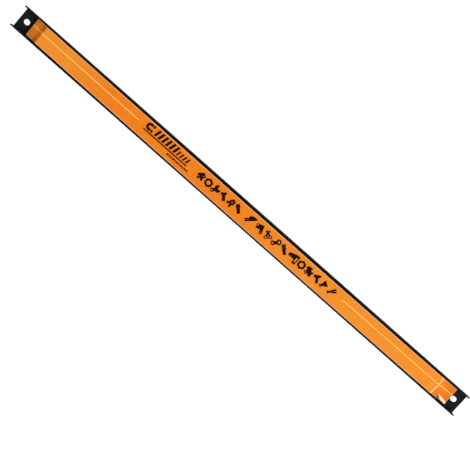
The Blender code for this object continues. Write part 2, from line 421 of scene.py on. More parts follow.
tree.links.new(node(tree, "ShaderNodeCombineXYZ", {
    "X": given.outputs["Slip"], "Z": given.outputs["Slip"],
}).outputs[0], slip.inputs[1])
row = node(tree, "GeometryNodeSetPosition", {"Geometry": row, "Offset": slip.outputs[0]}).outputs[0]
blocks = node(tree, "GeometryNodeInstanceOnPoints", {"Points": row, "Instance": block}).outputs[0]
shade = node(tree, "FunctionNodeRandomValue", {"Seed": given.outputs["Seed"]}, data_type='FLOAT')
blocks = node(tree, "GeometryNodeStoreNamedAttribute",
              {"Geometry": blocks, "Name": "block_tone", "Value": shade.outputs[1]},
              data_type='FLOAT', domain='INSTANCE').outputs[0]
blocks = node(tree, "GeometryNodeRealizeInstances", {"Geometry": blocks}).outputs[0]
blocks = node(tree, "GeometryNodeSetMaterial",
              {"Geometry": blocks, "Material": given.outputs["Ferrite"]}).outputs[0]
tree.links.new(blocks, made.inputs[0])

magnets = sorted(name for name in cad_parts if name.startswith("magnet_"))
first_low, first_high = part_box(magnets[0])
last_low, last_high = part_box(magnets[-1])
row_mesh = run_tree("magnet_row", tree, {
    "Count": len(magnets), "Pitch": (last_low.x - first_low.x) / (len(magnets) - 1),
    "Size": tuple(first_high - first_low), "Chamfer": MAGNET_CHAMFER, "Slip": MAGNET_SLIP,
    "Seed": MAGNET_SEED, "Ferrite": ferrite,
})
row_mesh.transform(Matrix.Translation(((first_low.x + last_high.x) / 2,
                                       (first_low.y + first_high.y) / 2, 0)))
fit("magnet_row", row_mesh, "ferrite", *magnets)

# ---------------------------------------------------------------------------------------------
# Pole bar. A flat bar of rolled mild steel that the magnets pull down onto themselves. It
# carries their field to the front, and is left bare, with rolling lines and a little rust.
# ---------------------------------------------------------------------------------------------
STEEL_BRIGHT = (0.46, 0.46, 0.47)
STEEL_SCALE = (0.17, 0.17, 0.19)
RUST = (0.20, 0.075, 0.025)
ROLLING_RELIEF = 0.00003

steel, tree, shader, place = finish("rolled_steel", metallic=1.0)
rolling = grain(tree, place, 900, detail=4, stretch=(0.03, 1, 1))
scale_spots = smooth_step(tree, grain(tree, place, 130, detail=5), 0.5, 0.72)
freckles = smooth_step(tree, grain(tree, place, 420, detail=6), 0.64, 0.74)
colour = mix_colour(tree, scale_spots, STEEL_BRIGHT, STEEL_SCALE)
tree.links.new(mix_colour(tree, freckles, colour, RUST), shader.inputs["Base Color"])
tree.links.new(maths(tree, 'MULTIPLY_ADD', rolling, 0.35, 0.22), shader.inputs["Roughness"])
tree.links.new(maths(tree, 'SUBTRACT', 1.0, freckles), shader.inputs["Metallic"])
emboss(tree, shader, rolling, ROLLING_RELIEF)
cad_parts["pole_bar"].data.materials.clear()
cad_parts["pole_bar"].data.materials.append(steel)

# ---------------------------------------------------------------------------------------------
# Tape. White double-sided cloth tape, rolled down along the bar to hold the card. The threads
# of its open weave show through the adhesive.
# ---------------------------------------------------------------------------------------------
TAPE_WHITE = (0.78, 0.76, 0.70)
TAPE_SHADE = (0.62, 0.59, 0.52)
THREADS = 180.0
THREAD_RELIEF = 0.00005

tape, tree, shader, place = finish("white_tape", roughness=0.6)
threads = [
    node(tree, "ShaderNodeTexWave", {"Vector": place, "Scale": THREADS, "Distortion": 0.6},
         wave_type='BANDS', bands_direction=direction).outputs["Fac"]
    for direction in "XZ"
]
weave = maths(tree, 'MAXIMUM', *threads)
tree.links.new(mix_colour(tree, weave, TAPE_SHADE, TAPE_WHITE), shader.inputs["Base Color"])
tree.links.new(maths(tree, 'MULTIPLY_ADD', weave, 0.25, 0.45), shader.inputs["Roughness"])
emboss(tree, shader, weave, THREAD_RELIEF)
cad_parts["label_tape"].data.materials.clear()
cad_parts["label_tape"].data.materials.append(tape)

# ---------------------------------------------------------------------------------------------
# Card. One strip of white board printed orange on its face and taped over the core. It bows a
# little towards the lower flange. Past each end of the core it is folded down into the channel
# as a flap, and the right flap's lower corner is bent up and painted the pale colour of bare
# board. The flat run is painted lighter towards its ends as a painted sheen, and the right fold's
# crest carries a painted highlight over its cracked print.
# ---------------------------------------------------------------------------------------------
PRINT_ORANGE = (0.865, 0.207, 0.008)
PRINT_WARM_AND_SHEEN = (0.885, 0.285, 0.022)
PRINT_BLOTCH = (0.93, 0.255, 0.010)
PRINT_FADED = (0.93, 0.450, 0.210)
CREASE_CREAM_AND_HIGHLIGHT = (0.99, 0.74, 0.36)
BOARD_WHITE = (0.97, 0.90, 0.72)
BOARD_GREY = (0.60, 0.55, 0.47)
PRINT_RELIEF = 0.000018
# Where the painted sheen on the flat run starts and where it is full, towards the right and towards the
# left.
SHEEN_TO_RIGHT = (-0.05, 0.19)
SHEEN_TO_LEFT = (-0.17, -0.25)
SHEEN_FADES_PAST_CORE = 0.001

CARD_THICKNESS = 0.0004
BOW_DEPTH = 0.00070
BOW_DEEPEST_X = 0.0365
BOW_REACH = 0.271
RIPPLE = 0.00007
RIPPLES_ALONG = 14
RIPPLES_UP = 30
EDGE_LIFT = 0.00012
EDGE_RIPPLES = 20
CREASE_RADIUS = 0.00045
FOOT_RADIUS = 0.0012
SAG_RADIUS = 0.02
WALL_RUN = 0.0012
LEFT_FOOT_DROP = 0.0030
LEFT_END_DROP = 0.0066
RIGHT_FOOT_DROP = 0.0034
RIGHT_SAG_DROP = 0.0038
RIGHT_SAG_FROM_FOLD = 0.0115
RIGHT_END_DROP = 0.0029
FOLD_LEAD = 0.0012
FOLD_LEAD_HEIGHT = 0.003
FOLD_CURVE_ABOVE = 26.0
FOLD_CURVE_BELOW = 5.0
FOLD_LEAD_REACH = 0.004

CORNER_START = (0.2800, -0.0050)
CORNER_END = (0.2912, -0.0064)
CORNER_FOOT = (0.2832, -0.0094)
CORNER_LIFT = math.radians(46)
CORNER_RADIUS = 0.0006
CORNER_BUCKLE = 0.0016
# The bent-up corner's pale board colour is at full strength this far past its crease.
CORNER_PALE = 0.0007
END_WEAR = 0.7
END_WEAR_REACH = 0.0008
EDGE_WEAR = 0.66
EDGE_WEAR_REACH = 0.0022
CREST_PAST_FOLD = 0.0001
# Cream along the folds: cracked print at each fold, with a painted highlight over it along the right
# fold's crest.
RIGHT_CRACK_AND_HIGHLIGHT = 1.15
RIGHT_CRACK_AND_HIGHLIGHT_REACH = 0.0013
LEFT_CRACK = 0.45
LEFT_CRACK_REACH = 0.0012

COARSE_STEP = 0.0035
FINE_STEP = 0.00022
FINE_BAND = 0.002
FINE_FADE = 0.03
CORNER_FROM_FOLD = 0.012
ROWS = 56

card_low, card_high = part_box("label_card")
bar_low, bar_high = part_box("pole_bar")
fold_left, fold_right = bar_low.x, bar_high.x
card_face = card_low.y
card_half = (card_high.z - card_low.z) / 2
core_middle, core_half = (fold_left + fold_right) / 2, (fold_right - fold_left) / 2


def eased_path(corners, radii):
    """A line through the corners, each inner one rounded to its radius by an arc."""
    points = [Vector(corners[0])]
    for before, corner, after, radius in zip(corners, corners[1:], corners[2:], radii):
        before, corner, after = Vector(before), Vector(corner), Vector(after)
        into, out = (corner - before).normalized(), (after - corner).normalized()
        turn = into.angle_signed(out)
        reach = radius * math.tan(abs(turn) / 2)
        start = corner - into * reach
        side = Vector((into.y, -into.x)) * math.copysign(1, turn)
        centre = start + side * radius
        steps = max(3, math.ceil(math.degrees(abs(turn)) / 6))
        for step in range(steps + 1):
            points.append(centre - Matrix.Rotation(-turn * step / steps, 2) @ side * radius)
    points.append(Vector(corners[-1]))
    return points


def level(drop):
    """The depth of a point that lies a drop behind the card's face."""
    return card_face + drop


card_line = eased_path([
    (card_low.x, level(LEFT_END_DROP)),
    (fold_left - WALL_RUN, level(LEFT_FOOT_DROP)),
    (fold_left, card_face),
    (fold_right, card_face),
    (fold_right + WALL_RUN, level(RIGHT_FOOT_DROP)),
    (fold_right + RIGHT_SAG_FROM_FOLD, level(RIGHT_SAG_DROP)),
    (card_high.x, level(RIGHT_END_DROP)),
], [FOOT_RADIUS, CREASE_RADIUS, CREASE_RADIUS, FOOT_RADIUS, SAG_RADIUS])
lengths = [0.0]
for start, end in zip(card_line, card_line[1:]):
    lengths.append(lengths[-1] + (end - start).length)
middle = bisect.bisect([point.x for point in card_line], 0.0)
zero_length = lengths[middle] - card_line[middle].x
lengths = [length - zero_length for length in lengths]


def fold_lead(height):
    """How far the right fold's crest runs out at a height: it isn't a straight crease."""
    above = height - FOLD_LEAD_HEIGHT
    return FOLD_LEAD - (FOLD_CURVE_ABOVE if above > 0 else FOLD_CURVE_BELOW) * above * above


def lifted_corner(along, height):
    """The bent corner: how far a point lies past its crease, and how much of the lift it has."""
    start, end, foot = Vector(CORNER_START), Vector(CORNER_END), Vector(CORNER_FOOT)
    crease = (end - start).normalized()
    past = (along - start.x) * crease.y - (height - start.y) * crease.x
    side = (foot - start).normalized()
    beside = (height - start.y) * side.x - (along - start.x) * side.y
    share = min(1.0, max(0.0, beside / CORNER_BUCKLE))
    return max(0.0, past), share * share * (3 - 2 * share)


def card_point(along, height, lift=0.0):
    """A point lift above the card's face: along is measured on the card, and height up it."""
    shifted = along - fold_lead(height) * math.exp(-((along - fold_right) / FOLD_LEAD_REACH) ** 2)
    index = min(max(bisect.bisect(lengths, shifted), 1), len(lengths) - 1)
    start, end = card_line[index - 1], card_line[index]
    share = (shifted - lengths[index - 1]) / (lengths[index] - lengths[index - 1])
    x, y = start.lerp(end, share)
    x += along - shifted
    heading = (end - start).normalized()
    facing = Vector((heading.y, -heading.x))
    if facing.y > 0:
        facing.negate()
    flat = max(0.0, 1 - (abs(x - core_middle) / (fold_right - fold_left) * 2) ** 8)
    y += RIPPLE * flat * noise.noise(Vector((x * RIPPLES_ALONG, height * RIPPLES_UP, 3.0)))
    edge_ripple = 0.6 + 0.8 * noise.noise(Vector((x * EDGE_RIPPLES, 7.0, 1.0)))
    y -= EDGE_LIFT * (height / card_half) ** 4 * edge_ripple
    z = height - BOW_DEPTH * (1 - ((x - BOW_DEEPEST_X) / BOW_REACH) ** 2)
    normal = Vector((facing.x, facing.y, 0))
    place = Vector((x, y, z)) + normal * lift
    past, share = lifted_corner(along, height)
    if past > 0 and share > 0:
        angle = CORNER_LIFT * share
        turned = min(past, CORNER_RADIUS * angle)
        rest = past - turned
        bent = turned / CORNER_RADIUS
        inwards = CORNER_RADIUS * math.sin(bent) + rest * math.cos(angle)
        upwards = CORNER_RADIUS * (1 - math.cos(bent)) + rest * math.sin(angle)
        place += Vector((0, 0, past - inwards)) + normal * upwards
    return place


def stations(low, high, coarse, fine, focus):
    """Values from low to high, closer together near each point of focus."""
    found = [low]
    while found[-1] < high:
        near = min(abs(found[-1] - point) for point in focus)
        share = min(1.0, max(0.0, near - FINE_BAND) / FINE_FADE)
        found.append(found[-1] + fine + (coarse - fine) * share)
    found[-1] = high
    return found


def bare_board(along, height):
    """How far the print gives way to pale board at a point, from 0 to 1: rubbed through at the right end
    and along the long edges, and painted pale on the bent-up corner.
    """
    right_end = END_WEAR - (lengths[-1] - along) / END_WEAR_REACH
    long_edge = EDGE_WEAR - (card_half - abs(height)) / EDGE_WEAR_REACH
    past, share = lifted_corner(along, height)
    # The bent-up corner is painted the pale colour of bare board.
    corner = min(1.0, past / CORNER_PALE) * share
    return max(0.0, right_end, long_edge, corner)


def fold_crack_and_highlight(along, height):
    """How cream the print is painted along the folds at a point, from 0 to 1: cracked print at both
    folds, and a painted highlight over it along the right fold's crest.
    """
    crest = fold_right + CREST_PAST_FOLD + fold_lead(height)
    right = RIGHT_CRACK_AND_HIGHLIGHT - abs(along - crest) / RIGHT_CRACK_AND_HIGHLIGHT_REACH
    left = LEFT_CRACK - abs(along - fold_left) / LEFT_CRACK_REACH
    return max(0.0, right, left)


marks_along = stations(lengths[0], lengths[-1], COARSE_STEP, FINE_STEP,
                       [fold_left, fold_right, fold_right + CORNER_FROM_FOLD, lengths[-1]])
marks_up = [card_half * (2 * row / ROWS - 1) for row in range(ROWS + 1)]
shape = bmesh.new()
front, back = [], []
for along in marks_along:
    front.append([shape.verts.new(card_point(along, height)) for height in marks_up])
shape.verts.ensure_lookup_table()
for i, column in enumerate(front):
    thinner = []
    for j, vert in enumerate(column):
        ahead = front[min(i + 1, len(front) - 1)][j].co - front[max(i - 1, 0)][j].co
        above = column[min(j + 1, ROWS)].co - column[max(j - 1, 0)].co
        inward = above.cross(ahead).normalized()
        thinner.append(shape.verts.new(vert.co + inward * CARD_THICKNESS))
    back.append(thinner)
for i in range(len(front) - 1):
    for j in range(ROWS):
        shape.faces.new((front[i][j], front[i + 1][j], front[i + 1][j + 1], front[i][j + 1]))
        shape.faces.new((back[i][j], back[i][j + 1], back[i + 1][j + 1], back[i + 1][j]))
    for j, (a, b) in ((0, (back, front)), (ROWS, (front, back))):
        shape.faces.new((a[i][j], a[i + 1][j], b[i + 1][j], b[i][j]))
for j in range(ROWS):
    for i, (a, b) in ((0, (back, front)), (len(front) - 1, (front, back))):
        shape.faces.new((a[i][j], b[i][j], b[i][j + 1], a[i][j + 1]))
bmesh.ops.recalc_face_normals(shape, faces=shape.faces)
card_mesh = bpy.data.meshes.new("printed_card")
shape.to_mesh(card_mesh)
shape.free()
board_showing = card_mesh.attributes.new("board_showing", 'FLOAT', 'POINT')
crease_crack_and_highlight = card_mesh.attributes.new("crease_crack_and_highlight", 'FLOAT', 'POINT')
printed = card_mesh.attributes.new("printed", 'FLOAT', 'POINT')
for i, along in enumerate(marks_along):
    for j, height in enumerate(marks_up):
        index = i * len(marks_up) + j
        board_showing.data[index].value = bare_board(along, height)
        crease_crack_and_highlight.data[index].value = fold_crack_and_highlight(along, height)
        printed.data[index].value = 1.0
card_mesh.shade_smooth()
card_mesh.set_sharp_from_angle(angle=SHARP_TURN)

card, tree, shader, place = finish("orange_card", specular=0.14)
axes = node(tree, "ShaderNodeSeparateXYZ", {"Vector": place})
fibre = grain(tree, place, 3200, detail=3, stretch=(0.5, 1, 1))
density = grain(tree, place, 75, detail=5, roughness=0.7, stretch=(0.6, 1, 1))
# Painted sheen: the print on the flat run over the core is painted lighter and warmer towards both ends,
# most towards the right where the key light stands, and the flaps don't get it. The warmer orange also
# comes from the print's uneven density.
painted_sheen_right = smooth_step(tree, axes.outputs["X"], *SHEEN_TO_RIGHT)
painted_sheen_left = smooth_step(tree, axes.outputs["X"], *SHEEN_TO_LEFT)
painted_sheen = maths(tree, 'MAXIMUM', painted_sheen_right, painted_sheen_left)
from_middle = maths(tree, 'ABSOLUTE', maths(tree, 'SUBTRACT', axes.outputs["X"], core_middle))
on_core = smooth_step(tree, from_middle, core_half + SHEEN_FADES_PAST_CORE, core_half)
warm_print_and_sheen = maths(tree, 'MULTIPLY_ADD', density, 1.3, maths(tree, 'MULTIPLY', painted_sheen, on_core))
orange = mix_colour(tree, maths(tree, 'SUBTRACT', warm_print_and_sheen, 0.6), PRINT_ORANGE, PRINT_WARM_AND_SHEEN)
blotches = smooth_step(tree, grain(tree, place, 210, detail=3, roughness=0.6), 0.42, 0.66)
orange = mix_colour(tree, maths(tree, 'MULTIPLY', blotches, 0.55), orange, PRINT_BLOTCH)
board_share = node(tree, "ShaderNodeAttribute", attribute_name="board_showing").outputs["Fac"]
ragged = maths(tree, 'MULTIPLY_ADD', grain(tree, place, 1400, detail=4), 0.5,
               maths(tree, 'SUBTRACT', board_share, 0.25))
orange = mix_colour(tree, smooth_step(tree, ragged, 0.22, 0.50), orange, PRINT_FADED)
board = mix_colour(tree, grain(tree, place, 500), BOARD_WHITE, BOARD_GREY)
board = mix_colour(tree, 0.25, board, BOARD_WHITE)
face = mix_colour(tree, smooth_step(tree, ragged, 0.62, 0.80), orange, BOARD_WHITE)
# Cream along the folds: cracked print, with a painted highlight along the right fold's crest.
crease = node(tree, "ShaderNodeAttribute", attribute_name="crease_crack_and_highlight").outputs["Fac"]
crease = maths(tree, 'MULTIPLY_ADD', grain(tree, place, 900, detail=3), 0.5,
               maths(tree, 'SUBTRACT', crease, 0.25))
face = mix_colour(tree, smooth_step(tree, crease, 0.25, 0.75), face, CREASE_CREAM_AND_HIGHLIGHT)
inked = node(tree, "ShaderNodeAttribute", attribute_name="printed").outputs["Fac"]
tree.links.new(mix_colour(tree, smooth_step(tree, inked, 0.90, 0.98), board, face),
               shader.inputs["Base Color"])
gloss = maths(tree, 'MULTIPLY_ADD', fibre, 0.14, 0.34)
rough = maths(tree, 'MULTIPLY_ADD', smooth_step(tree, ragged, 0.3, 0.6), 0.35, gloss)
tree.links.new(rough, shader.inputs["Roughness"])
emboss(tree, shader, maths(tree, 'MULTIPLY_ADD', density, 3.0, fibre), PRINT_RELIEF)
fit("printed_card", card_mesh, "orange_card", "label_card", coat=card)

# ---------------------------------------------------------------------------------------------
# Printing. Two fine cream rules, a horseshoe-magnet mark and a row of tool pictograms, each a
# film of ink on the card's face. The pictograms show what the strip holds, and aren't lettering.
# ---------------------------------------------------------------------------------------------
INK_BLACK = (0.0100, 0.0030, 0.0018)
INK_THIN = (0.022, 0.0065, 0.003)
INK_CREAM = (0.95, 0.60, 0.20)
INK_RELIEF = 0.00001
INK_LIFT = 0.00004
INK_FILM = 0.00005
ROUND = 20
MM = 0.001
SAME_POINT = 1e-4
OUTER_SIDE = -1.0


def ink_finish(name, colour, thin_colour, roughness):
    """A printing ink's material, patchy where it covers less well."""
    made, tree, shader, place = finish(name, specular=0.06)
    cover = grain(tree, place, 1500, detail=4)
    tree.links.new(mix_colour(tree, smooth_step(tree, cover, 0.5, 0.75), colour, thin_colour),
                   shader.inputs["Base Color"])
    tree.links.new(maths(tree, 'MULTIPLY_ADD', cover, 0.25, roughness), shader.inputs["Roughness"])
    emboss(tree, shader, cover, INK_RELIEF)
    return made


def bar(x0, y0, x1, y1, width):
    """A square-ended bar along a line."""
    run = Vector((x1 - x0, y1 - y0)).normalized() * width / 2
    return [(x0 + run.y, y0 - run.x), (x1 + run.y, y1 - run.x),
            (x1 - run.y, y1 + run.x), (x0 - run.y, y0 + run.x)]


def disc(x, y, radius):
    """A round outline with no doubled point."""
    return arc((x, y), radius, 0, 360 - 360 / ROUND, ROUND - 1)


def ink(name, shapes, holes, coat, slot, step=0.004):
    """A film of ink: every shape joined, less every hole, laid on the card. Points are in mm."""
    outlines = shapes + holes
    points, faces = [], []
    for outline in outlines:
        faces.append(list(range(len(points), len(points) + len(outline))))
        points += [Vector(point) for point in outline]
    flat, _, triangles, _, _, sources = delaunay_2d_cdt(points, [], faces, 1, SAME_POINT)
    shape = bmesh.new()
    verts = [shape.verts.new((point.x * MM, 0, point.y * MM)) for point in flat]
    for triangle, source in zip(triangles, sources):
        if source and all(face < len(shapes) for face in source):
            shape.faces.new([verts[index] for index in triangle])
    loose = [vert for vert in shape.verts if not vert.link_faces]
    bmesh.ops.delete(shape, geom=loose, context='VERTS')
    low = min(vert.co.x for vert in shape.verts)
    high = max(vert.co.x for vert in shape.verts)
    cut = low + step
    while cut < high:
        parts = shape.verts[:] + shape.edges[:] + shape.faces[:]
        bmesh.ops.bisect_plane(shape, geom=parts, plane_co=(cut, 0, 0), plane_no=(1, 0, 0))
        cut += step
    bmesh.ops.triangulate(shape, faces=shape.faces)
    bmesh.ops.recalc_face_normals(shape, faces=shape.faces)
    if shape.faces[:][0].normal.y > 0:
        bmesh.ops.reverse_faces(shape, faces=shape.faces)
    top = bmesh.ops.extrude_face_region(shape, geom=shape.faces[:])
    for vert in {item for item in top["geom"] if isinstance(item, bmesh.types.BMVert)}:
        vert.co.y = OUTER_SIDE
    for vert in shape.verts:
        lift = INK_LIFT + INK_FILM if vert.co.y == OUTER_SIDE else INK_LIFT
        vert.co = card_point(vert.co.x, vert.co.z, lift)
    bmesh.ops.recalc_face_normals(shape, faces=shape.faces)
    mesh = bpy.data.meshes.new(name)
    shape.to_mesh(mesh)
    shape.free()
    return fit(name, mesh, slot, coat=coat)


black_ink = ink_finish("black_ink", INK_BLACK, INK_THIN, 0.35)
cream_ink = ink_finish("cream_ink", INK_CREAM, INK_CREAM, 0.40)

RULE_HEIGHT = 1.95
RULE_WIDTH = 0.8
RULE_WIDTH_ON_FLAP = 1.05
RULE_INNER_END = 140.2
RULE_RISE = 0.9
RULE_LAP = 0.2
RULE_END_SPACE = 0.1
RULE_STEP = 0.0006
left_end, right_end = lengths[0] / MM + RULE_END_SPACE, lengths[-1] / MM - RULE_END_SPACE
fold_left_mm, fold_right_mm = fold_left / MM, fold_right / MM
left_turn, right_turn = RULE_HEIGHT + RULE_RISE / 2, RULE_HEIGHT + RULE_RISE
ink("cream_rule_left", [
    bar(-RULE_INNER_END, RULE_HEIGHT, fold_left_mm, RULE_HEIGHT, RULE_WIDTH),
    bar(fold_left_mm + RULE_LAP, RULE_HEIGHT, left_end, left_turn, RULE_WIDTH_ON_FLAP),
], [], cream_ink, "cream_ink", step=RULE_STEP)
ink("cream_rule_right", [
    bar(RULE_INNER_END, RULE_HEIGHT, fold_right_mm, RULE_HEIGHT, RULE_WIDTH),
    bar(fold_right_mm - RULE_LAP, RULE_HEIGHT, right_end, right_turn, RULE_WIDTH_ON_FLAP),
], [], cream_ink, "cream_ink", step=RULE_STEP)

# The pictograms. Each icon is a pair of lists in mm about its own middle: the outlines that are
# joined, then the ones cut out of them.
STOUT = 1.22
CROSSING = 42


def tilted(icon, degrees):
    """An icon made stouter and turned anticlockwise about its middle."""
    turn = Matrix.Rotation(math.radians(degrees), 2)
    return tuple([[tuple(turn @ Vector((x * STOUT, y))) for x, y in shape] for shape in part]
                 for part in icon)


def crossed(first, second):
    """Two slim icons laid across each other."""
    (solid, cut), (other_solid, other_cut) = tilted(first, CROSSING), tilted(second, -CROSSING)
    return solid + other_solid, cut + other_cut


def hammer():
    return [bar(0, -4.95, 0, 2.2, 2.7), bar(-3.4, 3.2, 1.9, 3.2, 3.5),
            [(1.8, 1.6), (3.9, 2.7), (3.9, 4.3), (1.8, 4.95)]], []


def open_spanner():
    return [bar(0, -4.2, 0, 2.2, 2.9), disc(0, 2.3, 3.3), disc(0, -3.6, 1.9)], [
        bar(0, 3.0, 0, 6.0, 2.6), disc(0, -3.7, 0.7)]


def screwdriver():
    """A ribbed handle, a neck and a blade with a flat tip."""
    return [bar(0, 5.6, 0, 1.0, 3.9), bar(0, 1.1, 0, -0.2, 2.8), bar(0, 0, 0, -4.9, 2.0),
            [(-1.0, -4.0), (-1.7, -5.8), (1.7, -5.8), (1.0, -4.0)]], [bar(0, 4.6, 0, 2.0, 0.5)]


def pliers():
    return [bar(0.6, 1.6, -2.6, -4.9, 2.5), bar(-0.6, 1.6, 2.6, -4.9, 2.5), disc(0, 1.1, 2.9),
            [(-2.7, 1.2), (-1.7, 5.3), (-0.35, 5.3), (-0.35, 1.2)],
            [(2.7, 1.2), (1.7, 5.3), (0.35, 5.3), (0.35, 1.2)]], [disc(0, 1.1, 0.8)]


def hex_nut():
    return [arc((0, 0), 4.95, 30, 330, 5)], [disc(0, 0, 2.2)]


def bolt():
    threads = [bar(-2.0, -4.6 + 1.6 * turn, 2.0, -4.0 + 1.6 * turn, 0.9) for turn in range(5)]
    return [bar(-3.3, 4.4, 3.3, 4.4, 3.0), bar(0, 3.0, 0, -5.2, 3.0)] + threads, []


def chef_knife():
    return [[(-2.0, -1.0), (2.2, -1.0), (2.2, 7.0), (1.2, 6.4), (-0.6, 4.2), (-1.7, 1.6)],
            bar(0.7, -0.8, 0.7, -6.2, 2.8)], [disc(0.7, -2.6, 0.4), disc(0.7, -4.6, 0.4)]


def cleaver():
    return [[(-4.2, -0.6), (3.4, -0.6), (3.4, 5.2), (-3.9, 5.2)], bar(1.9, 0, 1.9, -5.2, 2.9)], [
        disc(-2.6, 3.6, 0.8), disc(1.9, -3.6, 0.45)]


def scissors():
    return [bar(-2.0, -1.6, 1.7, 5.4, 2.1), bar(2.0, -1.6, -1.7, 5.4, 2.1),
            disc(-2.4, -3.0, 2.3), disc(2.4, -3.0, 2.3)], [disc(-2.4, -3.0, 1.1), disc(2.4, -3.0, 1.1)]


def ring_spanner():
    return [bar(0, -3.4, 0, 3.4, 3.0), disc(0, 3.6, 2.7), disc(0, -3.6, 2.2)], [
        disc(0, 3.6, 1.15), disc(0, -3.6, 0.9)]


def chisel():
    return [bar(0, 5.6, 0, 1.4, 3.8), bar(0, 1.5, 0, 0.7, 2.6), bar(0, 0.8, 0, -4.2, 3.2),
            [(-1.6, -4.1), (1.6, -4.1), (1.6, -4.9), (-1.6, -5.8)]], []


def saw():
    teeth = [[(x, -0.2), (x + 0.75, -1.5), (x + 1.5, -0.2)] for x in (-5.6, -4.1, -2.6, -1.1, 0.4)]
    blade = [(-5.6, -0.3), (1.9, -0.3), (1.9, 4.8), (-5.6, 2.2)]
    handle = [(1.7, -4.6), (5.4, -4.6), (5.9, 4.8), (1.7, 4.8)]
    return [blade, handle] + teeth, [bar(3.6, -2.6, 3.8, 2.2, 1.5)]


def drill_bit():
    """A plain shank below, and slanted lands up to the point."""
    lands = [bar(-1.9, -1.2 + 1.6 * turn, 1.9, 0.1 + 1.6 * turn, 1.25) for turn in range(4)]
    return [bar(0, -5.6, 0, -1.4, 2.8), bar(0, -1.6, 0, 5.0, 1.8),
            [(-1.9, 4.4), (1.9, 4.4), (1.9, 5.0), (0, 6.2), (-1.9, 5.0)]] + lands, []


def scraper():
    return [[(-3.8, 5.4), (-2.0, 0.8), (2.0, 0.8), (3.8, 5.4)], bar(0, 1.0, 0, -5.2, 3.1)], [
        disc(0, -3.8, 0.55)]


ICON_CENTRE = 1.15
ICON_HEIGHT = 10.1
# Where each group starts and ends along the card, and its icons from left to right.
groups = (
    (-58.5, 1.9, (crossed(hammer(), screwdriver()), hex_nut(), tilted(open_spanner(), -42),
                  tilted(bolt(), 38), tilted(pliers(), -28), tilted(chisel(), 45))),
    (8.3, 131.0, (tilted(chef_knife(), -46), tilted(cleaver(), 18), tilted(scissors(), 38),
                  tilted(ring_spanner(), -45), tilted(drill_bit(), 45), saw(), hex_nut(),
                  crossed(drill_bit(), open_spanner()), tilted(hammer(), 32), tilted(scraper(), -35),
                  tilted(screwdriver(), -44))),
)


def spread(shapes, low, scale, cursor, foot):
    """Shapes scaled and set down at their place in the row."""
    return [[((x - low) * scale + cursor, (y - foot) * scale + ICON_CENTRE - ICON_HEIGHT / 2)
             for x, y in shape] for shape in shapes]


shapes, holes = [], []
for start, end, icons in groups:
    spans = []
    for solid, _ in icons:
        across, upright = [[point[axis] for shape in solid for point in shape] for axis in (0, 1)]
        scale = ICON_HEIGHT / (max(upright) - min(upright))
        spans.append((min(across), min(upright), scale, (max(across) - min(across)) * scale))
    gap = (end - start - sum(width for _, _, _, width in spans)) / (len(icons) - 1)
    cursor = start
    for (solid, cut), (low, foot, scale, width) in zip(icons, spans):
        shapes += spread(solid, low, scale, cursor, foot)
        holes += spread(cut, low, scale, cursor, foot)
        cursor += width + gap
ink("tool_pictograms", shapes, holes, black_ink, "black_ink")

# The mark, in mm: a horseshoe magnet with its two pole tips, slanted stripes that get shorter and
# thinner away from it, a rule under them and a row of fine dashes below.
MARK_LEFT = -130.9
MARK_RIGHT = -68.5
MARK_TOP = 8.5
MARK_FOOT = 0.35
HORSESHOE_ARM = 5.6
HORSESHOE_OPENING = 9
HORSESHOE_WIDTH = 2.7
POLE_TIP_FROM_BEND = 3.0
POLE_TIP_GAP = 0.5
CUT_PAST = 1
STRIPES_FROM_BEND = 8.2
STRIPES_END_SPACE = 4
STRIPE_LEAN = 0.28
STRIPE_GAP = 2.2
BOLD_STRIPES_END = MARK_LEFT + 40
BOLD_STRIPE = 2.9
THIN_STRIPE = 1.9
THIN_STRIPE_HEIGHT = 0.7
MARK_RULE_HEIGHT = -1.3
MARK_RULE_WIDTH = 1.4
MARK_RULE_END = MARK_RIGHT - 3.6
DASH_START = -95.6
DASH_HEIGHT = -4.9
DASH_WIDTH = 1.9
DASH_GAP = 0.75
DASH_LENGTHS = (2.4, 1.2, 1.9, 2.6, 1.2, 2.1, 1.4, 2.6, 1.2, 2.2, 1.8)

mark_height = MARK_TOP - MARK_FOOT
mid = (MARK_TOP + MARK_FOOT) / 2
bend = MARK_LEFT + mark_height / 2


def side_on_u(radius, arm):
    """A U lying on its side, open to the right."""
    return arc((bend, mid), radius, 90, 270, ROUND) + [(arm, mid - radius), (arm, mid + radius)]


tip = bend + POLE_TIP_FROM_BEND
shapes = [side_on_u(mark_height / 2, bend + HORSESHOE_ARM)]
holes = [side_on_u(mark_height / 2 - HORSESHOE_WIDTH, bend + HORSESHOE_OPENING),
         bar(tip, MARK_TOP + CUT_PAST, tip, MARK_FOOT - CUT_PAST, POLE_TIP_GAP)]
stripe = bend + STRIPES_FROM_BEND
while stripe < MARK_RIGHT - STRIPES_END_SPACE:
    bold = stripe < BOLD_STRIPES_END
    tall = mark_height if bold else mark_height * THIN_STRIPE_HEIGHT
    wide = BOLD_STRIPE if bold else THIN_STRIPE
    top, ahead = MARK_FOOT + tall, STRIPE_LEAN * tall
    shapes.append([(stripe, MARK_FOOT), (stripe + wide, MARK_FOOT),
                   (stripe + wide + ahead, top), (stripe + ahead, top)])
    stripe += wide + STRIPE_GAP
shapes.append(bar(MARK_LEFT, MARK_RULE_HEIGHT, MARK_RULE_END, MARK_RULE_HEIGHT, MARK_RULE_WIDTH))
dash = DASH_START
for length in DASH_LENGTHS:
    shapes.append(bar(dash, DASH_HEIGHT, dash + length, DASH_HEIGHT, DASH_WIDTH))
    dash += length + DASH_GAP
ink("magnet_mark", shapes, holes, black_ink, "black_ink")

